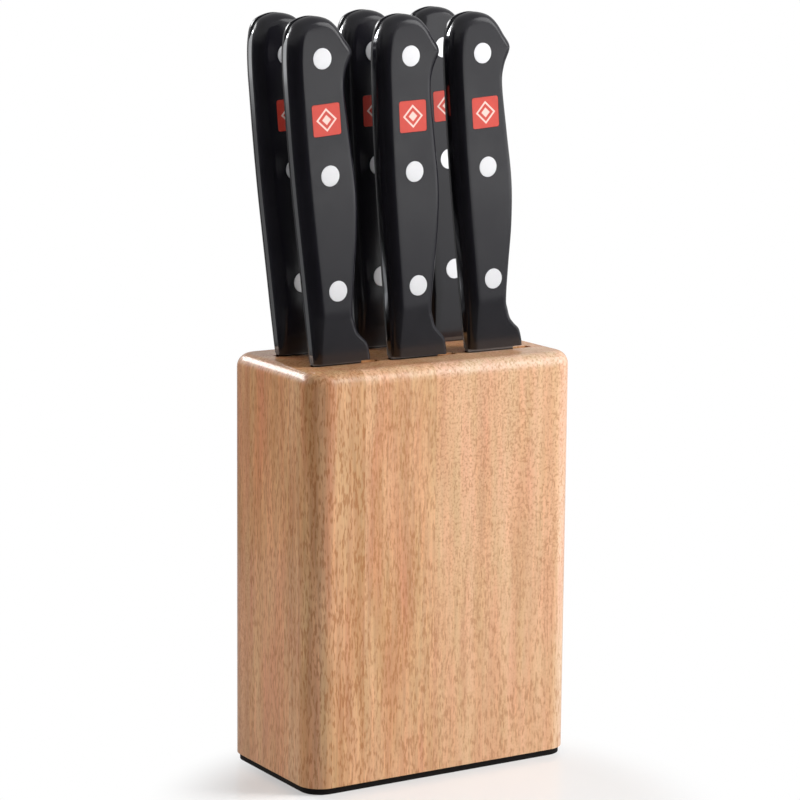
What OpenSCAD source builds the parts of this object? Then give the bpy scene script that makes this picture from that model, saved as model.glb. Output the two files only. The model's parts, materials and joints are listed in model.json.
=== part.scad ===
// Knife block with six riveted knives, in millimetres.
// The block stands on z = 0 with its broad front towards -Y; the origin is the middle of its foot.

/* [Block] */
// Width of the block, along X
block_w = 100.3; // [92:0.1:130]
// Depth of the block, along Y
block_d = 54.8; // [48:0.1:80]
// Height of the wooden top above the table
block_h = 136.5; // [125:0.5:170]
// Radius of the four upright edges
corner_r = 7.9; // [6:0.1:10]
// Radius that runs round the top edge
top_r = 4.4; // [2:0.1:5.8]
// Width of the left stave of the front board
left_stave_w = 19.5; // [12:0.1:25]
// Width of the middle stave of the front board
middle_stave_w = 26.3; // [10:0.1:40]

/* [Foot pad] */
// Thickness of the non-slip pad under the block
pad_t = 2.2; // [1:0.1:4]
// Step back of the pad from the block's outline
pad_inset = 0.9; // [0.5:0.1:3]

/* [Slots] */
// Distance of each row of slots from the middle of the block
row_y = 11.4; // [8:0.1:13]
// Width of wood left between two neighbouring slots of a row
divider_w = 3.9; // [3:0.1:8]
// Free length of a slot beside the blade's width
slot_play = 7.7; // [5:0.1:10]
// Free thickness of a slot beside the blade's thickness
slot_gap = 1.0; // [0.7:0.1:2]
// Gap between the lowest blade tip and the slot's floor
tip_gap = 0.3; // [0.2:0.05:1]

/* [Blade] */
// Length of the blade from the handle to its tip
blade_l = 114; // [95:0.5:118]
// Width of the blade at its heel
blade_w = 17.5; // [14:0.1:18.5]
// Thickness of the blade's back and of the tang
blade_t = 2.0; // [1.6:0.1:3]
// Thickness left at the cutting edge
edge_t = 0.3; // [0.2:0.05:0.6]
// Length of full thickness between the handle and the grind
ricasso_l = 3.0; // [2:0.5:6]
// Length over which the grind runs out towards the handle
plunge_l = 4.0; // [2:0.5:8]

/* [Handle] */
// Length of the handle from its front end to the butt
handle_l = 109.7; // [104:0.1:120]
// Greatest width of the handle, across the guard
handle_w = 22.9; // [20:0.1:23.5]
// Thickness of one handle scale
scale_t = 4.1; // [3.4:0.1:5]
// Thickness of a scale at its front end
front_t = 2.2; // [1.6:0.1:3]
// Length over which a scale thins out towards its front end
ramp_l = 16; // [12:0.5:17]
// Width of the rounding along the back of the handle
back_round = 4.2; // [2.5:0.1:4.4]
// Width of the rounding along the finger side and the butt
finger_round = 3.1; // [2:0.1:3.3]
// Slope of the handle's front end, in degrees
front_slope = 3.9; // [0:0.1:6]
// How far the tang stays behind the scales at the butt
butt_step = 0.6; // [0.2:0.1:1]
// Height of a handle's front end above the block
handle_gap = 0.8; // [0.8:0.1:6]

/* [Rivets and inlay] */
// Distance of the first rivet from the handle's front end
rivet_front = 23.3; // [21:0.1:26]
// Distance of the last rivet from the butt
rivet_back = 13.2; // [11:0.1:16]
// Diameter of a rivet's head
rivet_head_d = 6.6; // [5:0.1:8]
// Thickness of a rivet's head
rivet_head_t = 1.2; // [0.8:0.1:1.6]
// Diameter of the hollow half of a rivet
sleeve_d = 4.4; // [3.6:0.1:4.6]
// Diameter of the solid half of a rivet
pin_d = 2.7; // [1.8:0.1:2.9]
// Side of the square inlay
inlay_w = 10.0; // [7:0.1:11]
// Thickness of the inlay
inlay_t = 0.8; // [0.5:0.1:1.2]
// Radius of the inlay's corners
inlay_r = 0.8; // [0.3:0.1:2]
// Distance of the inlay's middle from the butt
inlay_back = 32.2; // [28:0.1:36]

/* [Hidden] */
$fn = 96;
// Radial clearance of the rivets in the handle and of the inlay in its pocket
fit = 0.05;
// Length by which cutting shapes reach past what they cut
past = 1;

// The knives as they stand: name, slot in its row, row, lean to the left in degrees,
// free space behind the blade's back, and lift above the lowest knife's seat
KNIVES = [
    ["knife_front_left", -1, -1, 4.8, 0.7, 0.2],
    ["knife_front_middle", 0, -1, 2.8, 0.45, 0],
    ["knife_front_right", 1, -1, 4.2, 0.7, 0.35],
    ["knife_back_left", -1, 1, 4.8, 1.0, 0.2],
    ["knife_back_middle", 0, 1, 2.8, 0.85, 0.2],
    ["knife_back_right", 1, 1, 4.2, 0.45, 0.9],
];

// The rows of slots: name and side of the block
ROWS = [["front", -1], ["back", 1]];

BLOCK_NODES = [
    "base_pad",
    "front_stave_left",
    "front_stave_middle",
    "front_stave_right",
    "middle_board",
    "back_board",
];
ROW_PIECES = ["end_strip_left", "end_strip_right", "divider_left", "divider_right", "slot_rail"];
KNIFE_PIECES = ["blade", "front_scale", "back_scale", "rivet_sleeves", "rivet_pins", "inlay"];

// Slots
slot_l = blade_w + slot_play;
slot_t = blade_t + slot_gap;
slot_pitch = slot_l + divider_w;
row_half_w = 1.5 * slot_l + divider_w;
layer_inner_y = row_y - slot_t / 2;
layer_outer_y = row_y + slot_t / 2;

// Handle outline drawn at full size: height above the front end, back side, finger side.
// It is scaled to handle_l and handle_w.
STATIONS = [
    [0, -8.5, 12.0],
    [2.3, -8.6, 11.8],
    [5.3, -8.7, 11.0],
    [7.3, -8.75, 9.1],
    [9.3, -8.8, 7.6],
    [12.3, -8.9, 6.75],
    [16, -9.0, 6.3],
    [27.3, -9.4, 7.8],
    [40.3, -9.9, 9.7],
    [54.3, -10.4, 10.5],
    [70.3, -10.7, 9.5],
    [85.3, -10.75, 8.6],
    [91.3, -10.75, 9.6],
    [97.3, -10.5, 12.15],
    [102.1, -9.9, 9.7],
    [106.1, -8.7, 7.1],
    [108.6, -6.2, 3.9],
    [109.7, -1.2, -1.2],
];
STATION_STEPS = 2;
ROUND_STEPS = 4;
station_top = len(STATIONS) - 1;
drawn_l = STATIONS[station_top][0];
drawn_w = max([for (s = STATIONS) s[2]]) - min([for (s = STATIONS) s[1]]);
ramp_row = 6;

// Height of a station: the stretch that thins out keeps its own length
function station_z(row) =
    let (z = STATIONS[row][0], ramp = STATIONS[ramp_row][0])
    row <= ramp_row
        ? z * ramp_l / ramp
        : ramp_l + (z - ramp) * (handle_l - ramp_l) / (drawn_l - ramp);

OUTLINE_POINTS = concat(
    [for (i = [0 : station_top]) [STATIONS[i][1] * handle_w / drawn_w, station_z(i)]],
    [for (i = [station_top - 1 : -1 : 0]) [STATIONS[i][2] * handle_w / drawn_w, station_z(i)]]
);
outline_last = len(OUTLINE_POINTS) - 1;

function outline_point(i) =
    i < 0
        ? 2 * OUTLINE_POINTS[0] - OUTLINE_POINTS[1]
        : i > outline_last
            ? 2 * OUTLINE_POINTS[outline_last] - OUTLINE_POINTS[outline_last - 1]
            : OUTLINE_POINTS[i];

// Smooth curve through four neighbouring points, between the middle two
function smooth_between(a, b, c, d, t) =
    (2 * b + (c - a) * t + (2 * a - 5 * b + 4 * c - d) * t * t + (3 * b - a - 3 * c + d) * t * t * t) / 2;

// The handle's outline from its front end up the back, over the butt and down the finger side
OUTLINE = [
    for (i = [0 : outline_last * STATION_STEPS])
        let (n = floor(i / STATION_STEPS), t = i / STATION_STEPS - n)
        smooth_between(
            outline_point(n - 1), outline_point(n), outline_point(n + 1), outline_point(n + 2), t
        )
];
last = len(OUTLINE) - 1;

// Direction from an outline point into the handle
function inward(i) =
    let (along = OUTLINE[min(i + 1, last)] - OUTLINE[max(i - 1, 0)])
    OUTLINE[i][1] <= ramp_l + 0.001
        ? [i < last / 2 ? 1 : -1, 0]
        : [along[1], -along[0]] / norm(along);

// Thickness of a scale at a height above the front end
function thickness(z) = z >= ramp_l ? scale_t : front_t + (scale_t - front_t) * z / ramp_l;

// Width of the rounding at an outline point, wider along the back than along the finger side
function rounding(p) =
    let (back_share = max(0, min(1, -p[0] / blade_spine_x)))
    (finger_round + (back_round - finger_round) * back_share) * thickness(p[1]) / scale_t;

// Slopes the front end by moving points near it along the handle
function sloped(p) = [p[0], p[1] - p[0] * tan(front_slope) * max(0, 1 - p[1] / ramp_l)];

// Distance of the blade's back from the line of rivets, flush with the handle's back
blade_spine_x = -OUTLINE_POINTS[0][0];
heel_x = blade_w - blade_spine_x;
handle_t = blade_t + 2 * scale_t;
rivet_pitch = (handle_l - rivet_front - rivet_back) / 2;
RIVET_Z = [for (i = [0 : 2]) rivet_front + i * rivet_pitch];

// Depth of the slot's floor below the block's top, under the lowest tip
function tip_depth(knife) =
    blade_spine_x * sin(knife[3]) + (blade_l - handle_gap - knife[5]) * cos(knife[3]);
slot_floor_z = block_h - max([for (knife = KNIVES) tip_depth(knife)]) - tip_gap;

// ---- Block ----

// Upright section from a middle line out to a rounded top edge
module edge_section(w) {
    difference() {
        translate([0, pad_t])
            square([w, block_h - pad_t]);
        translate([w - top_r, block_h - top_r])
            difference() {
                square(top_r + past);
                circle(r = top_r);
            }
    }
}

// Front view of the whole block
module block_view() {
    for (side = [0, 1])
        mirror([side, 0])
            edge_section(block_w / 2);
}

// Board between the front row of slots and the front face, with its rounded corners
module outer_board() {
    post_x = block_w / 2 - corner_r;
    post_y = block_d / 2 - corner_r;
    translate([0, -layer_outer_y, 0])
        rotate([90, 0, 0])
            linear_extrude(post_y - layer_outer_y)
                block_view();
    translate([post_x, -post_y, 0])
        rotate([90, 0, -90])
            linear_extrude(2 * post_x)
                edge_section(corner_r);
    for (post = [[-1, 180], [1, 270]])
        translate([post[0] * post_x, -post_y, 0])
            rotate([0, 0, post[1]])
                rotate_extrude(angle = 90)
                    edge_section(corner_r);
}

// Upright stave of the front board between two X positions
module stave(x0, x1) {
    color("burlywood")
        intersection() {
            outer_board();
            translate([x0, -block_d, 0])
                cube([x1 - x0, 2 * block_d, block_h + past]);
        }
}

module front_stave_left() {
    stave(-block_w / 2 - past, -block_w / 2 + left_stave_w);
}

module front_stave_middle() {
    stave(-block_w / 2 + left_stave_w, -block_w / 2 + left_stave_w + middle_stave_w);
}

module front_stave_right() {
    stave(-block_w / 2 + left_stave_w + middle_stave_w, block_w / 2 + past);
}

module back_board() {
    color("tan")
        mirror([0, 1, 0])
            outer_board();
}

module middle_board() {
    color("burlywood")
        translate([0, layer_inner_y, 0])
            rotate([90, 0, 0])
                linear_extrude(2 * layer_inner_y)
                    block_view();
}

// Piece of the thin layer that holds a row of slots
module layer_piece(side, x0, x1, z0, z1) {
    color("peru")
        translate([0, side * row_y + slot_t / 2, 0])
            rotate([90, 0, 0])
                linear_extrude(slot_t)
                    intersection() {
                        block_view();
                        translate([x0, z0])
                            square([x1 - x0, z1 - z0]);
                    }
}

module end_strip(side, end) {
    mirror([end < 0 ? 1 : 0, 0, 0])
        layer_piece(side, row_half_w, block_w / 2, pad_t, block_h);
}

module divider(side, end) {
    middle = end * slot_pitch / 2;
    layer_piece(side, middle - divider_w / 2, middle + divider_w / 2, slot_floor_z, block_h);
}

module slot_rail(side) {
    layer_piece(side, -row_half_w, row_half_w, pad_t, slot_floor_z);
}

module base_pad() {
    half_w = block_w / 2 - pad_inset;
    half_d = block_d / 2 - pad_inset;
    pad_r = corner_r - pad_inset;
    color("dimgray")
        linear_extrude(pad_t) {
            square([2 * half_w, 2 * (half_d - pad_r)], center = true);
            square([2 * (half_w - pad_r), 2 * half_d], center = true);
            for (sx = [-1, 1], sy = [-1, 1])
                translate([sx * (half_w - pad_r), sy * (half_d - pad_r)])
                    circle(r = pad_r);
        }
}

// ---- Knife, with its handle's front end at z = 0 and its rivets on x = 0 ----

BLADE_STEPS = 14;
BLUNT_TIP = 0.999;

// Width of the blade at a share of its length: a slight taper that curves in to the tip
function blade_width(s) = blade_w * (1 - 0.2 * s) * sqrt(1 - pow(s, 4));

// Half thickness of the blade's back, which thins over the front half
function back_half(s) = blade_t / 2 * (1 - 0.65 * max(0, 2 * s - 1));

// Sections of the ground blade: full at the ricasso, then a wedge down to the edge
function blade_section(step) =
    let (
        start = (ricasso_l + plunge_l) / blade_l,
        s = step == 0
            ? ricasso_l / blade_l
            : start + (BLUNT_TIP - start) * sin(90 * (step - 1) / (BLADE_STEPS - 1)),
        x = step == 0 ? heel_x : min(heel_x, blade_width(s) - blade_spine_x),
        edge_half = step == 0 ? blade_t / 2 : edge_t / 2,
        spine_half = back_half(s)
    )
    [
        [-blade_spine_x, spine_half, -s * blade_l],
        [x, edge_half, -s * blade_l],
        [x, -edge_half, -s * blade_l],
        [-blade_spine_x, -spine_half, -s * blade_l],
    ];

module ground_blade() {
    points = [for (step = [0 : BLADE_STEPS]) each blade_section(step)];
    end = 4 * BLADE_STEPS;
    polyhedron(
        points,
        concat(
            [[0, 1, 2], [0, 2, 3], [end, end + 2, end + 1], [end, end + 3, end + 2]],
            [
                for (step = [0 : BLADE_STEPS - 1], side = [0 : 3])
                    let (a = 4 * step + side, b = 4 * step + (side + 1) % 4)
                    each [[a, a + 4, b], [b, a + 4, b + 4]]
            ]
        )
    );
}

// Distance from the butt at which the step begins, and the length over which it grows
butt_step_from = 8;
butt_step_ease = 4;

// Outline of the tang: flush with the scales, but a step behind them at the butt
module tang_outline() {
    polygon([
        for (i = [0 : last])
            let (near_butt = max(0, min(1, (OUTLINE[i][1] - handle_l + butt_step_from) / butt_step_ease)))
            sloped(OUTLINE[i] + butt_step * near_butt * inward(i))
    ]);
}

// Blade and full tang in one piece of steel
module blade() {
    color("silver") {
        difference() {
            rotate([90, 0, 0])
                linear_extrude(blade_t, center = true) {
                    tang_outline();
                    translate([-blade_spine_x, -ricasso_l])
                        square([blade_w, ricasso_l + past]);
                }
            rivet_holes(sleeve_d / 2 + 2 * fit, handle_t);
        }
        ground_blade();
    }
}

// Holes through the handle for the three rivets, centred on the tang
module rivet_holes(r, depth) {
    for (z = RIVET_Z)
        translate([0, 0, z])
            rotate([90, 0, 0])
                cylinder(h = depth, r = r, center = true);
}

// Solid scale from its flat inner face at y = 0 out to y = scale_t
module scale_blank() {
    rings = [
        for (k = [0 : ROUND_STEPS], i = [0 : last])
            let (
                turn = 90 * k / ROUND_STEPS,
                p = OUTLINE[i] + rounding(OUTLINE[i]) * (1 - cos(turn)) * inward(i),
                q = sloped(p)
            )
            [q[0], thickness(OUTLINE[i][1]) * sin(turn), q[1]]
    ];
    row = last + 1;
    top = ROUND_STEPS * row;
    polyhedron(
        rings,
        concat(
            [
                for (k = [0 : ROUND_STEPS - 1], i = [0 : last])
                    let (a = k * row + i, b = k * row + (i + 1) % row)
                    each [[a, b, a + row], [b, b + row, a + row]]
            ],
            [
                for (i = [0 : last / 2 - 1])
                    let (a = i, b = i + 1, c = last - i - 1, d = last - i)
                    each concat(
                        [[a, d, b], [top + a, top + b, top + d]],
                        b == c ? [] : [[b, d, c], [top + b, top + c, top + d]]
                    )
            ]
        )
    );
}

// Handle scale drilled for the rivets, its outer side towards +Y
module handle_scale() {
    difference() {
        translate([0, blade_t / 2, 0])
            scale_blank();
        rivet_holes(sleeve_d / 2 + fit, 2 * handle_t);
        for (z = RIVET_Z)
            translate([0, handle_t / 2 - rivet_head_t, z])
                rotate([-90, 0, 0])
                    cylinder(h = rivet_head_t + past, r = rivet_head_d / 2 + fit);
    }
}

module back_scale() {
    color([0.13, 0.13, 0.14])
        handle_scale();
}

module front_scale() {
    color([0.13, 0.13, 0.14])
        difference() {
            mirror([0, 1, 0])
                handle_scale();
            translate([0, -handle_t / 2 + inlay_t, handle_l - inlay_back])
                rotate([90, 0, 0])
                    linear_extrude(inlay_t + past)
                        rounded_square(inlay_w + 2 * fit, inlay_r + fit);
        }
}

module rounded_square(w, r) {
    square([w, w - 2 * r], center = true);
    square([w - 2 * r, w], center = true);
    for (sx = [-1, 1], sy = [-1, 1])
        translate([sx * (w / 2 - r), sy * (w / 2 - r)])
            circle(r = r);
}

module inlay() {
    color("firebrick")
        translate([0, -handle_t / 2 + inlay_t, handle_l - inlay_back])
            rotate([90, 0, 0])
                linear_extrude(inlay_t)
                    rounded_square(inlay_w, inlay_r);
}

// Hollow halves of the three rivets, with their heads at the front
module rivet_sleeves() {
    color("gainsboro")
        for (z = RIVET_Z)
            translate([0, -handle_t / 2, z])
                rotate([-90, 0, 0])
                    difference() {
                        union() {
                            cylinder(h = rivet_head_t, r = rivet_head_d / 2);
                            cylinder(h = handle_t - rivet_head_t - 2 * fit, r = sleeve_d / 2);
                        }
                        translate([0, 0, rivet_head_t])
                            cylinder(h = handle_t, r = pin_d / 2 + fit);
                    }
}

// Solid halves, pressed in from the back
module rivet_pins() {
    tip_space = 0.4;
    color("silver")
        for (z = RIVET_Z)
            translate([0, handle_t / 2, z])
                rotate([90, 0, 0]) {
                    cylinder(h = rivet_head_t, r = rivet_head_d / 2);
                    cylinder(h = handle_t - rivet_head_t - tip_space, r = pin_d / 2);
                }
}

// Stands a knife in its slot
module in_slot(knife) {
    x = knife[1] * slot_pitch - slot_l / 2 + knife[4] + blade_spine_x;
    translate([x, knife[2] * row_y, block_h])
        rotate([0, -knife[3], 0])
            translate([0, 0, handle_gap + knife[5]])
                children();
}

base_pad();
front_stave_left();
front_stave_middle();
front_stave_right();
middle_board();
back_board();
for (row = ROWS) {
    end_strip(row[1], -1);
    end_strip(row[1], 1);
    divider(row[1], -1);
    divider(row[1], 1);
    slot_rail(row[1]);
}
for (knife = KNIVES) {
    in_slot(knife) blade();
    in_slot(knife) front_scale();
    in_slot(knife) back_scale();
    in_slot(knife) rivet_sleeves();
    in_slot(knife) rivet_pins();
    in_slot(knife) inlay();
}
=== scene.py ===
import json
import math

import bmesh
import bpy
from mathutils import Matrix, Quaternion, Vector


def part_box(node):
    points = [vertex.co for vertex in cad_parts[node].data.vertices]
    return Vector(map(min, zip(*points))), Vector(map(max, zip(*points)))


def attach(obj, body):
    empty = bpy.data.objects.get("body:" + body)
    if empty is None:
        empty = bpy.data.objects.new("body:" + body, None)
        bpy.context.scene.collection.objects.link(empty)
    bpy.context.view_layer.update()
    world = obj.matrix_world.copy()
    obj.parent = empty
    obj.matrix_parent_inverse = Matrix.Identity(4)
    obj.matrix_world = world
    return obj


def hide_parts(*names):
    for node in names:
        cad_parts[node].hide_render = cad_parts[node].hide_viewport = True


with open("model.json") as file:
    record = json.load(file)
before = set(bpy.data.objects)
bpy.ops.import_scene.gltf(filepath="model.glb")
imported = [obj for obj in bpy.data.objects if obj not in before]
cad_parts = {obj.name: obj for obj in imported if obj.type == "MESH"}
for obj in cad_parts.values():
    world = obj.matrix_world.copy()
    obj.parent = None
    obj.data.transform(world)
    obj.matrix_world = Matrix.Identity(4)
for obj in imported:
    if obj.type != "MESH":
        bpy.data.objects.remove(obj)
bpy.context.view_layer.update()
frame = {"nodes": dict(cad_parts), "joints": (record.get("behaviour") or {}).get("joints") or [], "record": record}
print("frame loaded:", len(frame["nodes"]), "nodes")

mm = 0.001
white = (1, 1, 1, 1)
knifeNames = [joint["child"] for joint in frame["joints"]]


def tone(red, green, blue):
    # colour written as on a screen, 0 to 255
    parts = (v / 255 for v in (red, green, blue))
    return tuple(v / 12.92 if v <= 0.04 else ((v + 0.055) / 1.055) ** 2.4 for v in parts) + (1.0,)


def fill(tree, node, values):
    # links a socket, sets anything else
    for key, value in values.items():
        if isinstance(value, bpy.types.NodeSocket):
            tree.links.new(value, node.inputs[key])
        else:
            node.inputs[key].default_value = value


def addNode(tree, kind, inputs=None, **settings):
    node = tree.nodes.new(kind)
    for name, value in settings.items():
        setattr(node, name, value)
    fill(tree, node, inputs or {})
    return node


def mathNode(tree, operation, first, second=0.0, third=0.0):
    given = {0: first, 1: second, 2: third}
    return addNode(tree, "ShaderNodeMath", given, operation=operation).outputs[0]


def vectorNode(tree, operation, first, second=(0, 0, 0)):
    node = addNode(tree, "ShaderNodeVectorMath", {0: first, 1: second}, operation=operation)
    return node.outputs["Value" if operation in ("LENGTH", "DOT_PRODUCT") else "Vector"]


def rangeNode(tree, value, low, high, toLow=0.0, toHigh=1.0, kind="SMOOTHSTEP"):
    given = {"Value": value, "From Min": low, "From Max": high, "To Min": toLow, "To Max": toHigh}
    return addNode(tree, "ShaderNodeMapRange", given, interpolation_type=kind).outputs["Result"]


def mixColor(tree, factor, first, second, blend="MIX"):
    given = {0: factor, 6: first, 7: second}
    return addNode(tree, "ShaderNodeMix", given, data_type="RGBA", blend_type=blend).outputs[2]


def mixTones(tree, factor, tones):
    first, second = tones
    return mixColor(tree, factor, tone(*first), tone(*second))


def mixShader(tree, factor, first, second):
    return addNode(tree, "ShaderNodeMixShader", {0: factor, 1: first, 2: second}).outputs[0]


def glowShader(tree, strength):
    given = {"Color": white, "Strength": strength}
    return addNode(tree, "ShaderNodeEmission", given).outputs[0]


def stretched(tree, place, scale, offset=(0, 0, 0)):
    given = {"Vector": place, "Scale": scale, "Location": offset}
    return addNode(tree, "ShaderNodeMapping", given).outputs[0]


def noise(tree, vector, detail=2.0, roughness=0.5, output="Fac"):
    given = {"Vector": vector, "Scale": 1.0, "Detail": detail, "Roughness": roughness}
    return addNode(tree, "ShaderNodeTexNoise", given).outputs[output]


def cloud(tree, place, cells, detail=2.0):
    # even noise with so many cells to the metre
    return noise(tree, stretched(tree, place, (cells, cells, cells)), detail)


def split(tree, vector, axis):
    return addNode(tree, "ShaderNodeSeparateXYZ", {"Vector": vector}).outputs[axis]


def bump(tree, height, strength, distance):
    given = {"Height": height, "Strength": strength, "Distance": distance}
    return addNode(tree, "ShaderNodeBump", given).outputs[0]


def flatMap(tree):
    # millimetres across the knife and along it, as layFlat gives them
    return addNode(tree, "ShaderNodeUVMap", uv_map="flat").outputs[0]


def rayKinds(tree):
    # seen, straight or through glass, and mirrored
    path = addNode(tree, "ShaderNodeLightPath").outputs
    seen = mathNode(tree, "MAXIMUM", path["Is Camera Ray"], path["Is Transmission Ray"])
    return seen, path["Is Glossy Ray"]


def newMaterial(name):
    material = bpy.data.materials.new(name)
    material.use_nodes = True
    return material, material.node_tree, material.node_tree.nodes["Principled BSDF"]


def objectPlace(tree):
    return addNode(tree, "ShaderNodeTexCoord").outputs["Object"]


def addObject(name, data):
    obj = bpy.data.objects.new(name, data)
    bpy.context.scene.collection.objects.link(obj)
    return obj


def addMesh(name, bm):
    mesh = bpy.data.meshes.new(name)
    bm.to_mesh(mesh)
    bm.free()
    return addObject(name, mesh)


def lookAlong(obj, way, roll=0.0):
    obj.rotation_mode = "QUATERNION"
    obj.rotation_quaternion = way.to_track_quat("-Z", "Y") @ Quaternion((0, 0, 1), roll)


camera = {
    "azimuth": 31.73,
    "elevation": 10.32,
    "roll": 0.51,
    "distance": 0.97152,
    "target": (-0.00104, 0.0002, 0.12034),
    "lens": 133.48,
    "sensor": 36,
    "nearest": 0.05,
    "farthest": 20,
}


def makeCamera():
    az = math.radians(camera["azimuth"])
    el = math.radians(camera["elevation"])
    back = Vector((-math.sin(az) * math.cos(el), -math.cos(az) * math.cos(el), math.sin(el)))
    data = bpy.data.cameras.new("camera")
    data.lens = camera["lens"]
    data.sensor_width = camera["sensor"]
    data.clip_start = camera["nearest"]
    data.clip_end = camera["farthest"]
    obj = addObject("camera", data)
    obj.location = Vector(camera["target"]) + back * camera["distance"]
    lookAlong(obj, -back, math.radians(camera["roll"]))
    bpy.context.scene.camera = obj


lights = {
    "key": {"at": (1.02, -0.66, 0.82), "size": (0.5, 0.5), "power": 21, "mirrored": False},
    "keyGlow": {"at": (0.955, -0.746, 0.82), "size": (1.0, 1.0), "power": 9, "mirrored": True},
    "backLeft": {"at": (-0.5, 1.1, 0.72), "size": (1.1, 0.35), "power": 11, "mirrored": True},
    "left": {"at": (-1.2, 0.25, 0.5), "size": (0.8, 0.8), "power": 3.55, "mirrored": False},
}
lightsAimAt = (0, 0, 0.12)


def makeLights():
    for name, light in lights.items():
        data = bpy.data.lights.new(name, "AREA")
        data.shape = "RECTANGLE"
        data.size, data.size_y = light["size"]
        data.energy = light["power"]
        obj = addObject(name, data)
        obj.visible_glossy = light["mirrored"]
        obj.location = light["at"]
        lookAlong(obj, Vector(lightsAimAt) - obj.location)


world = {"soft": 0.11, "mirror": 0.55}


def makeWorld():
    # white where it is seen, softer in mirrors and as a light
    studio = bpy.data.worlds.new("studio")
    bpy.context.scene.world = studio
    studio.use_nodes = True
    tree = studio.node_tree
    seen, inMirror = rayKinds(tree)
    mirrored = mathNode(tree, "MULTIPLY", inMirror, world["mirror"])
    direct = mathNode(tree, "MAXIMUM", seen, inMirror)
    soft = mathNode(tree, "MULTIPLY", mathNode(tree, "SUBTRACT", 1.0, direct), world["soft"])
    strength = mathNode(tree, "ADD", mathNode(tree, "ADD", seen, mirrored), soft)
    fill(tree, tree.nodes["Background"], {"Color": white, "Strength": strength})


# past the block's shadow the floor runs into the backdrop;
# seen in mirrors, it grows brighter towards the side that glowsTo points to
floor = {
    "size": 6.0,
    "albedo": 0.86,
    "roughness": 0.18,
    "plainShare": 0.3,
    "centre": (-0.02, -0.055, 0),
    "nearRadius": 0.06,
    "farRadius": 0.095,
    "glowsTo": (0.52, -0.85, 0),
    "glowFrom": 0.98,
    "glowUpTo": 1.7,
    "nearGlow": 0.42,
    "farGlow": 2.15,
}


def makeFloor():
    bm = bmesh.new()
    bmesh.ops.create_grid(bm, x_segments=1, y_segments=1, size=floor["size"])
    obj = addMesh("floor", bm)
    material, tree, shader = newMaterial("paleFloor")
    place = objectPlace(tree)
    albedo = floor["albedo"]
    fill(tree, shader, {"Base Color": (albedo, albedo, albedo, 1), "Roughness": floor["roughness"]})
    seen, inMirror = rayKinds(tree)
    reach = vectorNode(tree, "LENGTH", vectorNode(tree, "SUBTRACT", place, floor["centre"]))
    away = rangeNode(tree, reach, floor["nearRadius"], floor["farRadius"])
    share = mathNode(tree, "MULTIPLY_ADD", away, 1 - floor["plainShare"], floor["plainShare"])
    plain = mathNode(tree, "MULTIPLY", share, seen)
    blended = mixShader(tree, plain, shader.outputs[0], glowShader(tree, 1.0))
    along = vectorNode(tree, "DOT_PRODUCT", place, floor["glowsTo"])
    levels = [floor[key] for key in ("glowFrom", "glowUpTo", "nearGlow", "farGlow")]
    glow = glowShader(tree, rangeNode(tree, along, *levels))
    whole = mixShader(tree, inMirror, blended, glow)
    fill(tree, tree.nodes["Material Output"], {"Surface": whole})
    obj.data.materials.append(material)


def hideButMirror(obj):
    obj.visible_camera = False
    obj.visible_diffuse = False
    obj.visible_shadow = False
    obj.visible_transmission = False


# curved cards beside the block that show only in reflections, so the backs of the handles
# stay dark: each from one angle to another, with a glow low down and one high up
blackCards = {
    "radius": 0.34,
    "height": 0.27,
    "steps": 24,
    "cells": 20,
    "tones": ((20, 20, 21), (26, 26, 27)),
    "roughness": 0.9,
    "glowBetween": (0.155, 0.195),
    "cards": {
        "cardHigh": {"from": 142, "to": 275, "glow": (0.0, 0.0)},
        "cardLow": {"from": 100, "to": 142, "glow": (0.09, 0.5)},
    },
}


def makeBlackCards():
    for name, card in blackCards["cards"].items():
        material, tree, shader = newMaterial(name)
        place = objectPlace(tree)
        height = split(tree, place, "Z")
        mottle = cloud(tree, place, blackCards["cells"])
        fill(tree, shader, {
            "Base Color": mixTones(tree, mottle, blackCards["tones"]),
            "Roughness": blackCards["roughness"],
            "Emission Color": white,
            "Emission Strength": rangeNode(tree, height, *blackCards["glowBetween"], *card["glow"]),
        })
        bm = bmesh.new()
        turned = Matrix.Rotation(math.radians(card["from"]), 3, "Z")
        start = turned @ Vector((blackCards["radius"], 0, 0))
        low = bm.verts.new(start)
        high = bm.verts.new(start + Vector((0, 0, blackCards["height"])))
        edge = bm.edges.new((low, high))
        sweep = {"angle": math.radians(card["to"] - card["from"]), "steps": blackCards["steps"]}
        bmesh.ops.spin(bm, geom=[low, high, edge], cent=(0, 0, 0), axis=(0, 0, 1), **sweep)
        obj = addMesh(name, bm)
        obj.data.materials.append(material)
        hideButMirror(obj)


# light the back right handle would mirror if the one in front did not stand in the way
rowGlow = {
    "knives": ("knife_back_right", "knife_front_right"),
    "inset": 0.004,
    "wider": 0.03,
    "taller": 0.02,
    "low": 0.9,
    "high": 1.9,
}


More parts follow.
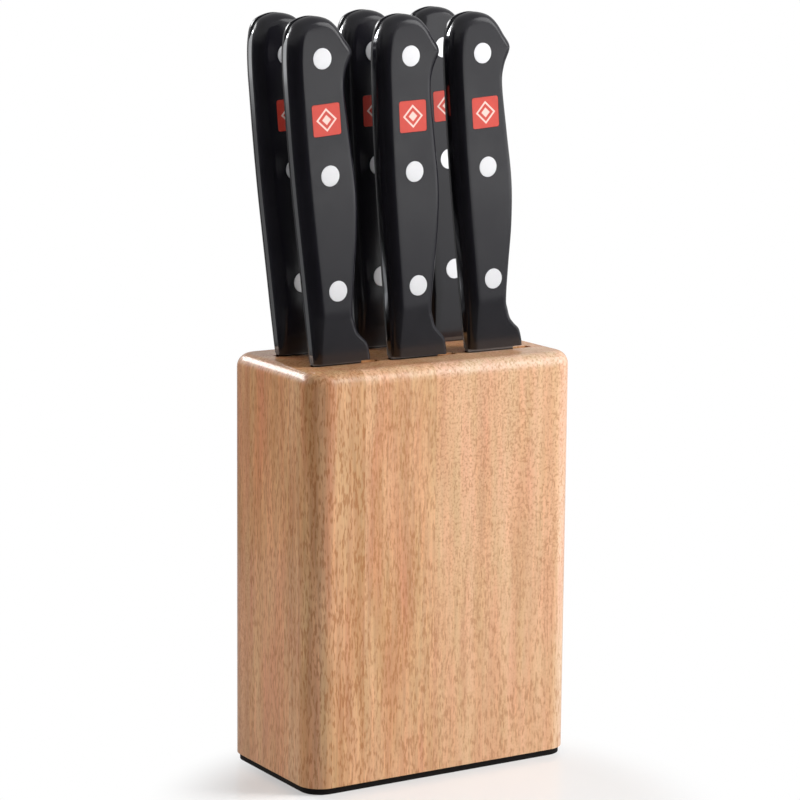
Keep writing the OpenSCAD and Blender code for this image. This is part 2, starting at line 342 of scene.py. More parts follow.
def makeRowGlow():
    low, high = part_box(rowGlow["knives"][0] + "_front_scale")
    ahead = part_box(rowGlow["knives"][1] + "_back_scale")[1].y
    bm = bmesh.new()
    bmesh.ops.create_grid(bm, x_segments=1, y_segments=1, size=0.5)
    width = high.x - low.x + rowGlow["wider"]
    left = low.x + rowGlow["inset"]
    centre = Vector((left + width / 2, (low.y + ahead) / 2, (low.z + high.z) / 2))
    size = Matrix.Diagonal((width, high.z - low.z + rowGlow["taller"], 1, 1))
    placed = Matrix.Translation(centre) @ Matrix.Rotation(math.pi / 2, 4, "X") @ size
    bmesh.ops.transform(bm, matrix=placed, verts=bm.verts)
    obj = addMesh("rowGlow", bm)
    material, tree, shader = newMaterial("rowGlow")
    tree.nodes.remove(shader)  # it only glows
    height = split(tree, objectPlace(tree), "Z")
    levels = (low.z, high.z, rowGlow["low"], rowGlow["high"])
    glow = glowShader(tree, rangeNode(tree, height, *levels, kind="LINEAR"))
    clear = addNode(tree, "ShaderNodeBsdfTransparent").outputs[0]
    facing = addNode(tree, "ShaderNodeNewGeometry").outputs["Backfacing"]
    fill(tree, tree.nodes["Material Output"], {"Surface": mixShader(tree, facing, clear, glow)})
    obj.data.materials.append(material)
    hideButMirror(obj)


woodTones = {
    "pale": (226, 176, 128),
    "deep": (210, 154, 104),
    "red": (208, 140, 102),
    "fleck": (160, 94, 34),
}
# each board: place in the pattern, brightness of red, green and blue,
# share of round flecks low on the block and high on it, amount of red
boards = {
    "front_stave_left": {
        "at": (0, 0, 0), "bright": (0.87, 0.91, 0.95), "round": (0.0, 0.0), "red": 0.6,
    },
    "front_stave_middle": {
        "at": (60, 20, 9), "bright": (0.92, 0.95, 1.04), "round": (0.2, 0.3), "red": 0.5,
    },
    "front_stave_right": {
        "at": (140, 35, 31), "bright": (1.0, 1.1, 1.32), "round": (0.3, 0.9), "red": 0.3,
    },
    "middle_board": {
        "at": (210, 55, 12), "bright": (0.95, 0.9, 0.88), "round": (0.1, 0.1), "red": 0.6,
    },
    "back_board": {
        "at": (290, 10, 44), "bright": (0.86, 0.84, 0.84), "round": (0.5, 0.5), "red": 0.6,
    },
    "end_strip": {
        "at": (350, 42, 5), "bright": (0.95, 0.95, 0.95), "round": (0.0, 0.0), "red": 0.9,
    },
    "divider": {
        "at": (410, 8, 26), "bright": (0.9, 0.88, 0.85), "round": (0.0, 0.0), "red": 0.5,
    },
    "slot_rail": {
        "at": (470, 70, 17), "bright": (0.9, 0.88, 0.85), "round": (0.0, 0.0), "red": 0.5,
    },
}
# bands of another tone along the block's edges: which way the edge faces, width in mm, tone; most of them are
# painted light, painted shade on the left face and the left corners, painted highlights on the top front edge and
# the right front corner
# painted shade darkening the left face of the block, strongest high up
paintedLeftShade = ((-1, 0, 0.01), 1.2, (0.95, 0.9, 0.86))  # fades towards the foot
edgeBands = {
    "front_stave_left": [
        paintedLeftShade,
        # painted shade on the top front edge, toning down its highlight
        ((0, -1, 1), 5, (0.86, 0.89, 0.94)),
        # painted shade on the rounded front left corner
        ((-2, -1, 0), 10, (0.97, 0.91, 0.82)),
    ],
    "middle_board": [paintedLeftShade],
    "end_strip": [paintedLeftShade],
    # painted shade on the left face and on the back left corner
    "back_board": [paintedLeftShade, ((-1, 1, 0), 10, (0.82, 0.8, 0.84))],
    # painted highlight on the top front edge
    "front_stave_middle": [((0, -1, 1), 5, (1.05, 1.15, 1.34))],
    "front_stave_right": [
        # painted highlight on the top front edge
        ((0, -1, 1), 5, (1.01, 1.13, 1.33)),
        # painted highlight on the rounded right front corner, standing in for reflected light
        ((1, -1, 0), 8, (1.0, 1.08, 1.3)),
        ((-1, 0, 0), 62, (0.95, 0.93, 0.88)),
    ],
}
# each pattern: cells per millimetre across the grain and along it, detail and roughness of
# its noise, the noise levels between which it comes in, and its values there if not 0 and 1
figure = {
    "bands": {"cells": (0.16, 0.012), "noise": (3.0, 0.6), "levels": (0.36, 0.64)},
    "reds": {"cells": (0.22, 0.015), "noise": (1.0, 0.5), "levels": (0.5, 0.75)},
    "hues": {"cells": (0.2, 0.025), "noise": (2.0, 0.5), "levels": (0.35, 0.65)},
    "streaks": {"cells": (0.8, 0.035), "noise": (2.0, 0.6), "levels": (0.3, 0.7, 0.89, 1.1)},
    "fibres": {"cells": (1.7, 0.06), "noise": (2.0, 0.6), "levels": (0.25, 0.75, 0.9, 1.1)},
    "patches": {"cells": (0.12, 0.03), "noise": (2.0, 0.5), "levels": (0.3, 0.7, -0.035, 0.035)},
    "dashes": {"cells": (1.35, 0.31), "noise": (2.5, 0.5), "levels": (0.48, 0.66)},
    "speckles": {"cells": (1.3, 1.15), "noise": (1.5, 0.5), "levels": (0.42, 0.78)},
}
wood = {
    "wanderCells": (0.02, 0.011),
    "wander": (4.0, 4.0, 0.0),  # millimetres
    "plainer": 0.5,  # share of its bands that a plain board loses
    "tints": ((1.05, 0.97, 0.98, 1), (0.97, 1.01, 0.96, 1)),
    "poreCells": (0.95, 0.17),
    "poreReach": (0.28, 0.12),
    "poreShare": 0.9,
    "fleckShare": 0.62,
    "roundBetween": (0.03, 0.1),  # heights between which the flecks turn round
    "bandEase": 0.6,  # share of an edge band's width at which its tone is full
    "patternStep": (7.0, 3.0, 0.0),  # keeps the patterns from lining up
    "boardStep": 3.7,  # millimetres in the pattern from one board to the next
    "roughness": 0.42,
    "fleckRoughness": 0.15,
    "fibreHeight": 0.3,
    "bump": (0.12, 0.0001),
    "coat": 0.6,
    "coatRoughness": 0.14,
}


def makeWoodGroup():
    # one grain for all boards, in millimetres, running up the block
    group = bpy.data.node_groups.new("woodGrain", "ShaderNodeTree")
    face = group.interface
    face.new_socket("Vector", in_out="INPUT", socket_type="NodeSocketVector")
    for name in ("Pale", "Deep", "Red", "Fleck"):
        face.new_socket(name, in_out="INPUT", socket_type="NodeSocketColor")
    for name in ("Roundness", "Plainness", "Redness"):
        face.new_socket(name, in_out="INPUT", socket_type="NodeSocketFloat")
    face.new_socket("Color", in_out="OUTPUT", socket_type="NodeSocketColor")
    for name in ("Roughness", "Height"):
        face.new_socket(name, in_out="OUTPUT", socket_type="NodeSocketFloat")
    given = group.nodes.new("NodeGroupInput").outputs
    result = group.nodes.new("NodeGroupOutput")

    # the grain wanders a little on its way up
    across, along = wood["wanderCells"]
    slow = stretched(group, given["Vector"], (across, across, along))
    centred = vectorNode(group, "SUBTRACT", noise(group, slow, output="Color"), (0.5, 0.5, 0.5))
    shift = vectorNode(group, "MULTIPLY", centred, wood["wander"])
    grain = vectorNode(group, "ADD", given["Vector"], shift)

    def pattern(name):
        across, along = figure[name]["cells"]
        moved = [len(name) * step for step in wood["patternStep"]]
        place = stretched(group, grain, (across, across, along), moved)
        return noise(group, place, *figure[name]["noise"])

    def levelled(name, value, kind="SMOOTHSTEP"):
        return rangeNode(group, value, *figure[name]["levels"], kind=kind)

    plainer = mathNode(group, "MULTIPLY_ADD", given["Plainness"], -wood["plainer"], 1.0)
    banded = mathNode(group, "MULTIPLY", levelled("bands", pattern("bands")), plainer)
    color = mixColor(group, banded, given["Pale"], given["Deep"])
    redder = mathNode(group, "MULTIPLY", levelled("reds", pattern("reds")), given["Redness"])
    color = mixColor(group, redder, color, given["Red"])
    hues = levelled("hues", pattern("hues"), kind="LINEAR")
    color = mixColor(group, 1.0, color, mixColor(group, hues, *wood["tints"]), "MULTIPLY")

    streaks = levelled("streaks", pattern("streaks"), kind="LINEAR")
    fibres = pattern("fibres")
    shade = mathNode(group, "MULTIPLY", streaks, levelled("fibres", fibres, kind="LINEAR"))
    grey = addNode(group, "ShaderNodeCombineColor", {0: shade, 1: shade, 2: shade}).outputs[0]
    shaded = mixColor(group, 1.0, color, grey, "MULTIPLY")
    color = mixColor(group, plainer, color, shaded)

    # dashes along the grain, or round speckles where a board is cut across its figure
    patches = levelled("patches", pattern("patches"), kind="LINEAR")
    dashes = levelled("dashes", mathNode(group, "ADD", pattern("dashes"), patches))
    speckles = levelled("speckles", mathNode(group, "ADD", pattern("speckles"), patches))
    turning = {0: given["Roundness"], 2: dashes, 3: speckles}
    flecks = addNode(group, "ShaderNodeMix", turning).outputs[0]
    across, along = wood["poreCells"]
    cells = {"Vector": stretched(group, grain, (across, across, along)), "Scale": 1.0}
    nearest = addNode(group, "ShaderNodeTexVoronoi", cells).outputs["Distance"]
    hollow = rangeNode(group, mathNode(group, "SUBTRACT", nearest, patches), *wood["poreReach"])
    pores = mathNode(group, "MULTIPLY", hollow, wood["poreShare"])
    dark = mathNode(group, "MAXIMUM", flecks, pores)
    fleckShare = mathNode(group, "MULTIPLY", dark, wood["fleckShare"])
    dull, shine = wood["fleckRoughness"], wood["roughness"]
    fill(group, result, {
        "Color": mixColor(group, fleckShare, color, given["Fleck"]),
        "Roughness": mathNode(group, "MULTIPLY_ADD", dark, dull, shine),
        "Height": mathNode(
            group, "SUBTRACT", mathNode(group, "MULTIPLY", fibres, wood["fibreHeight"]), dark
        ),
    })


def tintEdge(tree, place, color, blockBox, way, width, tint):
    # lays a band of another tone along one edge of the block, mostly painted shade or painted highlight
    corner = sum(max(w * low, w * high) for w, low, high in zip(way, *blockBox))
    along = vectorNode(tree, "DOT_PRODUCT", place, way)
    near = rangeNode(tree, along, corner - width * mm, corner - wood["bandEase"] * width * mm)
    tinted = mixColor(tree, 1.0, color, tint + (1,), "MULTIPLY")
    return mixColor(tree, near, color, tinted)


def woodMaterial(name, board, bands, moved, blockBox):
    material, tree, shader = newMaterial(name)
    place = objectPlace(tree)
    inMillimetres = (1 / mm, 1 / mm, 1 / mm)
    height = split(tree, place, "Z")
    grain = addNode(tree, "ShaderNodeGroup", node_tree=bpy.data.node_groups["woodGrain"])
    fill(tree, grain, {
        "Vector": stretched(tree, place, inMillimetres, tuple(v + moved for v in board["at"])),
        "Roundness": rangeNode(tree, height, *wood["roundBetween"], *board["round"]),
        "Plainness": board["round"][1],
        "Redness": board["red"],
    })
    for key, color in woodTones.items():
        lit = tuple(v * share for v, share in zip(tone(*color), board["bright"])) + (1.0,)
        grain.inputs[key.capitalize()].default_value = tone(*color) if key == "fleck" else lit
    color = grain.outputs["Color"]
    for way, width, tint in bands:
        color = tintEdge(tree, place, color, blockBox, way, width, tint)
    fill(tree, shader, {
        "Base Color": color,
        "Roughness": grain.outputs["Roughness"],
        "Normal": bump(tree, grain.outputs["Height"], *wood["bump"]),
        "Coat Weight": wood["coat"],
        "Coat Roughness": wood["coatRoughness"],
    })
    return material


pad = {
    "cells": 1500,
    "detail": 3.0,
    "tones": ((14, 11, 10), (26, 22, 20)),
    "roughness": 0.8,
    "specular": 0.25,
}


def padMaterial():
    material, tree, shader = newMaterial("padRubber")
    speckle = cloud(tree, objectPlace(tree), pad["cells"], pad["detail"])
    fill(tree, shader, {
        "Base Color": mixTones(tree, speckle, pad["tones"]),
        "Roughness": pad["roughness"],
        "Specular IOR Level": pad["specular"],
    })
    return material


def dress(obj, material):
    obj.data.materials.clear()
    obj.data.materials.append(material)


def dressBlock():
    makeWoodGroup()
    blockNodes = frame["record"]["behaviour"]["bodies"]["block"]
    corners = [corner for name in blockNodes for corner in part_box(name)]
    blockBox = [[pick(c[i] for c in corners) for i in range(3)] for pick in (min, max)]
    for count, name in enumerate(n for n in blockNodes if n != "base_pad"):
        part = next(part for part in boards if part in name)
        given = (boards[part], edgeBands.get(part, []), count * wood["boardStep"], blockBox)
        dress(frame["nodes"][name], woodMaterial("wood_" + name, *given))
    dress(frame["nodes"]["base_pad"], padMaterial())


# Knives are shaped in millimetres, with the front end of the handle at z = 0.
# Handle outline: height above the front end, back of the handle, finger side
stations = [
    (0, -8.5, 12.0), (2.3, -8.6, 11.8), (5.3, -8.7, 11.0), (7.3, -8.75, 9.1), (9.3, -8.8, 7.6),
    (12.3, -8.9, 6.75), (16, -9.0, 6.3), (27.3, -9.4, 7.8), (40.3, -9.9, 9.7), (54.3, -10.4, 10.5),
    (70.3, -10.7, 9.5), (85.3, -10.75, 8.6), (91.3, -10.75, 9.6), (97.3, -10.5, 12.15),
    (102.1, -9.9, 9.7), (106.1, -8.7, 7.1), (108.6, -6.2, 3.9), (109.7, -1.2, -1.2),
]
handle = {
    "scale": 4.1,
    "tang": 2.0,
    "frontThickness": 2.2,
    "rampLength": 16.0,
    "backRound": 4.2,
    "fingerRound": 3.1,
    "frontSlope": 3.9,
    "buttStep": 0.6,
    "buttStepFrom": 8.0,
    "buttStepEase": 4.0,
    "inset": 0.035,
    "curveSteps": 6,
    "roundSteps": 10,
    "sharp": 35,  # degrees from which an edge stays sharp
    "cells": 90,
    "detail": 4.0,
    "tones": ((20, 19, 24), (26, 25, 31)),
    "roughness": (0.3, 0.7, 0.19, 0.25),  # from two noise levels to two roughnesses
    "fineCells": 2600,
    "bump": (0.1, 0.00004),
}
outerFace = handle["tang"] / 2 + handle["scale"]
hair = 0.001  # millimetres


def smoothCurve(points, steps):
    ends = [points[0] * 2 - points[1]] + points + [points[-1] * 2 - points[-2]]
    curve = []
    for i in range(len(points) - 1):
        a, b, c, d = ends[i:i + 4]
        for t in (k / steps for k in range(steps)):
            bend = (2 * a - 5 * b + 4 * c - d) * t**2 + (3 * b - a - 3 * c + d) * t**3
            curve.append((2 * b + (c - a) * t + bend) / 2)
    return curve + [points[-1]]


def handleOutline():
    back = [Vector((b, z)) for z, b, f in stations]
    fingers = [Vector((f, z)) for z, b, f in reversed(stations[:-1])]
    outline = smoothCurve(back + fingers, handle["curveSteps"])
    return [p + inwardAt(outline, i) * handle["inset"] for i, p in enumerate(outline)]


def inwardAt(outline, i):
    last = len(outline) - 1
    if outline[i].y <= handle["rampLength"] + hair:
        return Vector((1 if i < last / 2 else -1, 0))
    along = outline[min(i + 1, last)] - outline[max(i - 1, 0)]
    return Vector((along.y, -along.x)).normalized()


def thicknessAt(z):
    share = min(1.0, max(0.0, z / handle["rampLength"]))
    return handle["frontThickness"] + (handle["scale"] - handle["frontThickness"]) * share


def sloped(point):
    near = max(0.0, 1 - point.y / handle["rampLength"])
    return point.x, point.y - point.x * math.tan(math.radians(handle["frontSlope"])) * near


def addRing(bm, points):
    verts = [bm.verts.new(p) for p in points]
    return verts, [bm.edges.new((verts[i - 1], verts[i])) for i in range(len(verts))]


def fillAcross(bm, verts):
    # strips from the back of the handle to its finger side, up to the butt
    middle = len(verts) // 2
    backSide = [bm.edges.get(pair) for pair in zip(verts[:middle - 1], verts[1:middle])]
    fingerSide = [bm.edges.get(pair) for pair in zip(verts[middle + 1:-1], verts[middle + 2:])]
    strips = bmesh.ops.bridge_loops(bm, edges=backSide + fingerSide)["faces"]
    butt = bmesh.ops.contextual_create(bm, geom=verts[middle - 1:middle + 2])["faces"]
    return strips + butt


def layFlat(bm, centre=0.0):
    layer = bm.loops.layers.uv.get("flat") or bm.loops.layers.uv.new("flat")
    for face in bm.faces:
        for loop in face.loops:
            loop[layer].uv = (loop.vert.co.x, loop.vert.co.z - centre)


def makeScale(outline, side):
    bm = bmesh.new()
    rings = []
    for k in range(handle["roundSteps"] + 1):
        turn = math.pi / 2 * k / handle["roundSteps"]
        points = []
        for i, p in enumerate(outline):
            backShare = min(1.0, max(0.0, -p.x / blade["spine"]))
            width = handle["fingerRound"] + (handle["backRound"] - handle["fingerRound"]) * backShare
            width *= thicknessAt(p.y) / handle["scale"]
            x, z = sloped(p + inwardAt(outline, i) * width * (1 - math.cos(turn)))
            points.append((x, side * (handle["tang"] / 2 + thicknessAt(p.y) * math.sin(turn)), z))
        rings.append(addRing(bm, points))
    for (_, lower), (_, upper) in zip(rings, rings[1:]):
        bmesh.ops.bridge_loops(bm, edges=lower + upper)
    for verts, _ in (rings[0], rings[-1]):
        fillAcross(bm, verts)
    bmesh.ops.recalc_face_normals(bm, faces=bm.faces)
    return bm


def makeTang(outline):
    bm = bmesh.new()
    stepTop = stations[-1][0] - handle["buttStepFrom"]
    points = []
    for i, p in enumerate(outline):
        nearButt = max(0.0, min(1.0, (p.y - stepTop) / handle["buttStepEase"]))
        x, z = sloped(p + inwardAt(outline, i) * handle["buttStep"] * nearButt)
        points.append((x, handle["tang"] / 2, z))
    verts, _ = addRing(bm, points)
    faces = fillAcross(bm, verts)
    grown = bmesh.ops.extrude_face_region(bm, geom=faces)["geom"]
    moved = [g for g in grown if isinstance(g, bmesh.types.BMVert)]
    bmesh.ops.translate(bm, verts=moved, vec=(0, -handle["tang"], 0))
    bmesh.ops.recalc_face_normals(bm, faces=bm.faces)
    return bm


def blackMaterial():
    material, tree, shader = newMaterial("handleBlack")
    place = objectPlace(tree)
    mottle = cloud(tree, place, handle["cells"], handle["detail"])
    fine = cloud(tree, place, handle["fineCells"])
    fill(tree, shader, {
        "Base Color": mixTones(tree, mottle, handle["tones"]),
        "Roughness": rangeNode(tree, mottle, *handle["roughness"]),
        "Normal": bump(tree, fine, *handle["bump"]),
    })
    return material


blade = {
    "length": 114.0,
    "width": 17.5,
    "taper": 0.2,
    "pointPower": 4,  # a higher one gives a blunter point
    "spine": 8.5,
    "spineThinning": 0.65,
    "ricasso": 3.0,
    "plunge": 4.0,
    "edge": 0.15,
    "tip": 0.999,
    "intoTang": 0.9,
    "segments": (6, 48),
    "heelShare": 0.06,  # of the rows, those above the grind
    "sharp": 28,
    "lines": (0.25, 14, 1),  # cells per millimetre across the blade and along it
    "detail": 3.0,
    "tones": ((196, 197, 200), (216, 217, 219)),
    # painted shade: heights where the steel leaves the handle are darkened, fading in and out
    "heelTone": (52, 46, 42),
    "heelFrom": (-4.0, -2.0),
    "heelUpTo": (6.0, 1.0),
    "heelShade": 0.85,
    # the tang is polished, the blade below it satin
    "satinBelow": (-1.0, -3.0),
    "satinRoughness": 0.26,
    "satinMetallic": -0.5,
    "polish": (0.3, 0.7, 0.06, 0.1),
    "bump": (0.06, 0.00003),
}


def bladeWidth(s):
    taper = 1 - blade["taper"] * s
    return blade["width"] * taper * math.sqrt(max(0.0, 1 - s**blade["pointPower"]))


def makeGroundBlade():
    # a sheet bent to one side of the grind, mirrored and closed along its rim
    bm = bmesh.new()
    columns, rows = blade["segments"]
    bmesh.ops.create_grid(bm, x_segments=columns, y_segments=rows, size=1)
    heel = blade["heelShare"]
    start = blade["ricasso"] / blade["length"]
    for vert in bm.verts:
        across = (vert.co.x + 1) / 2
        down = (1 - vert.co.y) / 2
        tipward = math.sin(math.pi / 2 * max(0.0, down - heel) / (1 - heel))
        s = start * down / heel if down < heel else start + (blade["tip"] - start) * tipward
        ground = min(1.0, max(0.0, (s * blade["length"] - blade["ricasso"]) / blade["plunge"]))
        width = bladeWidth(s) if ground > 0 else blade["width"]
        back = handle["tang"] / 2 * (1 - blade["spineThinning"] * max(0.0, 2 * s - 1))
        edge = back + (blade["edge"] - back) * ground
        top = blade["intoTang"] if down == 0 else 0
        side = back + (edge - back) * across
        vert.co = (-blade["spine"] + width * across, side, top - s * blade["length"])
    rim = [e for e in bm.edges if e.is_boundary]
    copy = bmesh.ops.duplicate(bm, geom=bm.verts[:] + bm.edges[:] + bm.faces[:])["geom"]
    otherSide = [g for g in copy if isinstance(g, bmesh.types.BMVert)]
    bmesh.ops.scale(bm, verts=otherSide, vec=(1, -1, 1))
    otherRim = [g for g in copy if isinstance(g, bmesh.types.BMEdge) and g.is_boundary]
    bmesh.ops.bridge_loops(bm, edges=rim + otherRim)
    bmesh.ops.recalc_face_normals(bm, faces=bm.faces)
    return bm


def bladeMaterial():
    # ground across the blade, then polished
    material, tree, shader = newMaterial("bladeSteel")
    flat = flatMap(tree)
    lines = noise(tree, stretched(tree, flat, blade["lines"]), blade["detail"])
    steel = mixTones(tree, lines, blade["tones"])
    height = split(tree, flat, "Y")
    # painted shade on the steel near the front end of the handle
    fromBelow = rangeNode(tree, height, *blade["heelFrom"])
    heel = mathNode(tree, "MULTIPLY", fromBelow, rangeNode(tree, height, *blade["heelUpTo"]))
    heelShade = mathNode(tree, "MULTIPLY", heel, blade["heelShade"])
    satin = rangeNode(tree, height, *blade["satinBelow"])
    polish = rangeNode(tree, lines, *blade["polish"])
    fill(tree, shader, {
        "Base Color": mixColor(tree, heelShade, steel, tone(*blade["heelTone"])),
        "Roughness": mathNode(tree, "MULTIPLY_ADD", satin, blade["satinRoughness"], polish),
        "Metallic": mathNode(tree, "MULTIPLY_ADD", satin, blade["satinMetallic"], 1.0),
        "Normal": bump(tree, lines, *blade["bump"]),
    })
    return material


rivet = {
    "count": 3,
    "front": 23.3,
    "pitch": 36.6,
    "headRadius": 3.3,
    "headThickness": 1.2,
    "sleeveRadius": 2.2,
    "pinRadius": 1.35,
    "rim": 0.12,
    "rimEase": 0.3,
    "fit": 0.05,
    "tipSpace": 0.4,
    "cutterOut": 1.0,  # how far the cutter for its hole stands out at either end
    "weld": 0.0001,
    "steps": 48,
    "sharp": 35,
    "rings": 9.0,  # to the millimetre
    "ringShare": 0.6,
    "scuffs": (1.5, 1.5, 1),
    "scuffDetail": 4.0,
    "scuffShare": 0.4,
    "tones": ((226, 226, 228), (246, 246, 248)),
    "roughness": (0.3, 0.7, 0.36, 0.44),
    "metallic": 0.65,
    "bump": (0.08, 0.00003),
}


def spinProfile(profile):
    bm = bmesh.new()
    verts = [bm.verts.new((r, y, 0)) for r, y in profile]
    edges = [bm.edges.new(pair) for pair in zip(verts, verts[1:])]
    fullTurn = {"angle": 2 * math.pi, "steps": rivet["steps"], "use_merge": True}
    bmesh.ops.spin(bm, geom=verts + edges, cent=(0, 0, 0), axis=(0, 1, 0), **fullTurn)
    bmesh.ops.remove_doubles(bm, verts=bm.verts, dist=rivet["weld"])
    bmesh.ops.recalc_face_normals(bm, faces=bm.faces)
    return bm


def atRivetHoles(profile, side):
    # one turned shape at each rivet hole, its head towards side
    whole = bmesh.new()
    halfTurn = Matrix.Rotation(math.pi, 3, "Z")
    for height in (rivet["front"] + i * rivet["pitch"] for i in range(rivet["count"])):
        one = spinProfile(profile)
        if side < 0:
            bmesh.ops.rotate(one, verts=one.verts, cent=(0, 0, 0), matrix=halfTurn)
        bmesh.ops.translate(one, verts=one.verts, vec=(0, side * outerFace, height))
        layFlat(one, height)
        mesh = bpy.data.meshes.new("oneRivet")
        one.to_mesh(mesh)
        one.free()
        whole.from_mesh(mesh)
        bpy.data.meshes.remove(mesh)
    return whole


def headProfile():
    r = rivet["headRadius"]
    rim = rivet["rim"]
    eased = rim * rivet["rimEase"]
    return [(0, 0), (r - rim, 0), (r - eased, -eased), (r, -rim), (r, -rivet["headThickness"])]


def makeSleeves():
    under = -rivet["headThickness"]
    deep = -2 * outerFace + rivet["headThickness"]
    bore = rivet["pinRadius"] + rivet["fit"]
    sleeve = rivet["sleeveRadius"]
    shank = [(sleeve, under), (sleeve, deep), (bore, deep), (bore, under), (0, under)]
    return atRivetHoles(headProfile() + shank, -1)


def makePins():
    under = -rivet["headThickness"]
    deep = -2 * outerFace + rivet["headThickness"] + rivet["tipSpace"]
    shank = [(rivet["pinRadius"], under), (rivet["pinRadius"], deep), (0, deep)]
    return atRivetHoles(headProfile() + shank, 1)


def makeHoles(side, headToo=True):
    # what the rivets need cut away: a counterbore for the head and a hole for the shank
    shank = rivet["sleeveRadius"] + rivet["fit"]
    head = rivet["headRadius"] + rivet["fit"] if headToo else shank + hair
    out = rivet["cutterOut"]
    under = -rivet["headThickness"]
    through = -2 * outerFace - out
    headHole = [(0, out), (head, out), (head, under), (shank, under)]
    return atRivetHoles(headHole + [(shank, through), (0, through)], side)


def rivetMaterial():
    # faced on a lathe: faint rings round each head
    material, tree, shader = newMaterial("rivetSteel")
    flat = flatMap(tree)
    reach = mathNode(tree, "MULTIPLY", vectorNode(tree, "LENGTH", flat), rivet["rings"])
    rings = noise(tree, addNode(tree, "ShaderNodeCombineXYZ", {0: reach}).outputs[0])
    scuffs = noise(tree, stretched(tree, flat, rivet["scuffs"]), rivet["scuffDetail"])
    scuffed = mathNode(tree, "MULTIPLY", scuffs, rivet["scuffShare"])
    mixed = mathNode(tree, "MULTIPLY_ADD", rings, rivet["ringShare"], scuffed)
    fill(tree, shader, {
        "Base Color": mixTones(tree, mixed, rivet["tones"]),
        "Roughness": rangeNode(tree, mixed, *rivet["roughness"]),
        "Metallic": rivet["metallic"],
        "Normal": bump(tree, mixed, *rivet["bump"]),
    })
    return material


inlay = {
    "width": 10.0,
    "thickness": 0.8,
    "round": 0.8,
    "roundSteps": 6,
    "height": 77.5,
    "rim": 0.1,
    "rimSteps": 2,
    "sharp": 50,
    "cells": 700,
    "detail": 3.0,
    "tones": ((194, 52, 37), (208, 64, 47)),
    "roughness": (0.3, 0.7, 0.3, 0.4),
    "coat": 0.4,
    "coatRoughness": 0.1,
    "markTone": (238, 205, 196),
    "markOuter": 3.3,
    "markLine": 0.8,
    "markInner": 1.6,
    "markSoft": 0.12,
}


def makeSquare(grow, rim):
    # rounded square that stands in the front face of the handle
    bm = bmesh.new()
    bmesh.ops.create_cube(bm, size=1)
    width = inlay["width"] + 2 * grow
    depth = inlay["thickness"] + grow
    bmesh.ops.scale(bm, verts=bm.verts, vec=(width, depth, width))
    bevel = {"offset_type": "OFFSET", "affect": "EDGES", "profile": 0.5, "material": -1}
    upright = [e for e in bm.edges if abs(e.verts[0].co.y - e.verts[1].co.y) > depth / 2]
    corner = {"offset": inlay["round"] + grow, "segments": inlay["roundSteps"]}
    bmesh.ops.bevel(bm, geom=upright, **corner, **bevel)
    if rim:
        sharp = math.radians(inlay["sharp"])
        front = [e for e in bm.edges if all(v.co.y < 0 for v in e.verts)]
        edges = [e for e in front if e.calc_face_angle(0) > sharp]
        bmesh.ops.bevel(bm, geom=edges, offset=rim, segments=inlay["rimSteps"], **bevel)
    middle = -outerFace + inlay["thickness"] - depth / 2 if rim else -outerFace
    bmesh.ops.translate(bm, verts=bm.verts, vec=(0, middle, inlay["height"]))
    return bm


def redMaterial():
    # red square with a plain pale diamond printed on it
    material, tree, shader = newMaterial("inlayRed")
    mottle = cloud(tree, objectPlace(tree), inlay["cells"], inlay["detail"])
    red = mixTones(tree, mottle, inlay["tones"])
    flat = vectorNode(tree, "ABSOLUTE", flatMap(tree))
    reach = mathNode(tree, "ADD", split(tree, flat, "X"), split(tree, flat, "Y"))
    fromLine = mathNode(tree, "ABSOLUTE", mathNode(tree, "SUBTRACT", reach, inlay["markOuter"]))
    half = inlay["markLine"] / 2
    inner = inlay["markInner"]
    soft = inlay["markSoft"]
    ring = rangeNode(tree, fromLine, half + soft, half - soft)
    printed = mathNode(tree, "MAXIMUM", ring, rangeNode(tree, reach, inner + soft, inner - soft))
    fill(tree, shader, {
        "Base Color": mixColor(tree, printed, red, tone(*inlay["markTone"])),
        "Roughness": rangeNode(tree, mottle, *inlay["roughness"]),
        "Coat Weight": inlay["coat"],
        "Coat Roughness": inlay["coatRoughness"],
    })
    return material


def combine(blank, other, operation):
    # cuts one shape out of another, or joins the two
    pair = [addMesh("shape", bm) for bm in (blank, other)]
    step = pair[0].modifiers.new("combine", "BOOLEAN")
    step.operation = operation
    step.solver = "EXACT"
    step.object = pair[1]
    made = pair[0].evaluated_get(bpy.context.evaluated_depsgraph_get())
    shaped = bpy.data.meshes.new_from_object(made)
    result = bmesh.new()
    result.from_mesh(shaped)
    for mesh in [shaped] + [obj.data for obj in pair]:
        bpy.data.meshes.remove(mesh)
    return result


def finishShape(name, bm, sharp, centre=None):
    if centre is not None:
        layFlat(bm, centre)
    for edge in bm.edges:
        edge.smooth = edge.calc_face_angle(math.pi) < math.radians(sharp)
    for face in bm.faces:
        face.smooth = True
    mesh = bpy.data.meshes.new(name)
    bm.to_mesh(mesh)
    bm.free()
    return mesh


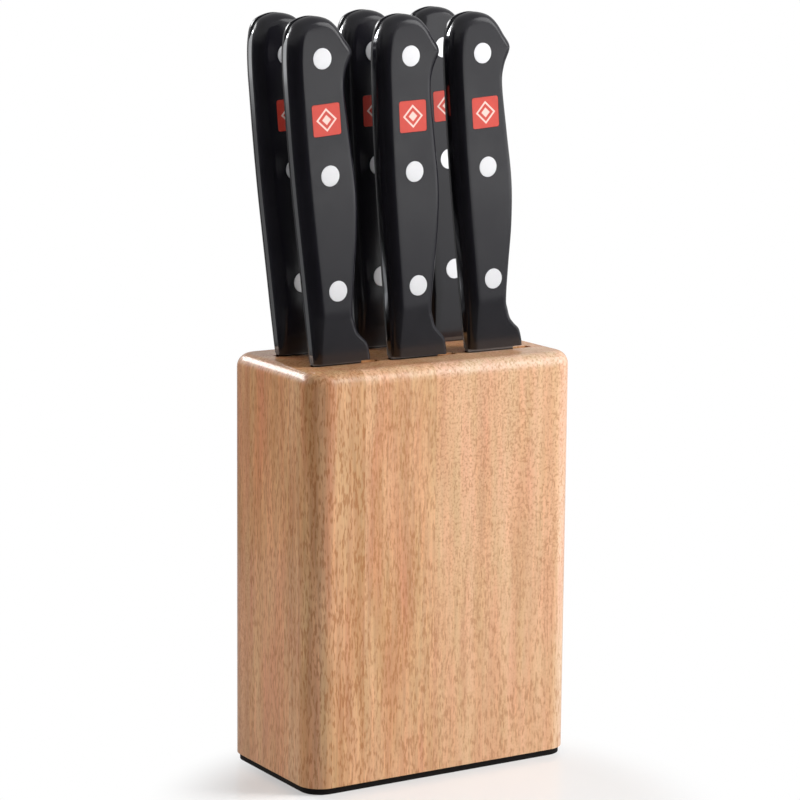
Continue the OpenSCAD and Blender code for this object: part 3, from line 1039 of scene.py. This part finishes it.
def makeShapes():
    outline = handleOutline()
    frontScale = combine(makeScale(outline, -1), makeHoles(-1), "DIFFERENCE")
    frontScale = combine(frontScale, makeSquare(rivet["fit"], 0), "DIFFERENCE")
    backScale = combine(makeScale(outline, 1), makeHoles(1), "DIFFERENCE")
    steel = combine(makeTang(outline), makeGroundBlade(), "UNION")
    steel = combine(steel, makeHoles(1, headToo=False), "DIFFERENCE")
    square = makeSquare(0, inlay["rim"])
    return {
        "FrontScale": finishShape("frontScale", frontScale, handle["sharp"], 0),
        "BackScale": finishShape("backScale", backScale, handle["sharp"], 0),
        "Blade": finishShape("blade", steel, blade["sharp"], 0),
        "Sleeves": finishShape("sleeves", makeSleeves(), rivet["sharp"]),
        "Pins": finishShape("pins", makePins(), rivet["sharp"]),
        "Inlay": finishShape("inlay", square, inlay["sharp"], inlay["height"]),
    }


def knifePlace(name):
    # the rivets and the joint give the line of the handle
    joint = next(j for j in frame["joints"] if j["child"] == name)
    along = Vector(joint["axis"]).normalized()
    low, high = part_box(name + "_rivet_sleeves")
    radius = rivet["headRadius"] * mm
    firstRivet = Vector((high.x - radius, low.y + outerFace * mm, low.z + radius))
    origin = firstRivet - along * rivet["front"] * mm
    thick = Vector((0, 1, 0))
    turned = Matrix((thick.cross(along), thick, along)).transposed().to_4x4()
    return Matrix.Translation(origin) @ turned @ Matrix.Scale(mm, 4)


def makeKnives():
    shapes = makeShapes()
    black = blackMaterial()
    rivetSteel = rivetMaterial()
    # piece: finish, material slot, the node it stands for
    pieces = {
        "FrontScale": (black, "handle_black", "_front_scale"),
        "BackScale": (black, "handle_black", "_back_scale"),
        "Blade": (bladeMaterial(), "steel", "_blade"),
        "Sleeves": (rivetSteel, "rivet_steel", "_rivet_sleeves"),
        "Pins": (rivetSteel, "rivet_steel", "_rivet_pins"),
        "Inlay": (redMaterial(), "inlay_red", "_inlay"),
    }
    for name in knifeNames:
        place = knifePlace(name)
        for piece, (material, slotName, node) in pieces.items():
            mesh = shapes[piece].copy()
            mesh.transform(place)
            mesh.materials.append(material)
            obj = addObject(name + piece, mesh)
            even = obj.modifiers.new("evenNormals", "WEIGHTED_NORMAL")
            even.keep_sharp = True
            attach(obj, name)
            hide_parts(name + node)
    for shape in shapes.values():
        bpy.data.meshes.remove(shape)


bpy.context.scene.view_settings.view_transform = "Standard"
makeCamera()
makeLights()
makeWorld()
makeFloor()
makeBlackCards()
makeRowGlow()
print("studio ready")
dressBlock()
print("block dressed")
makeKnives()
print("knives made:", len(knifeNames))
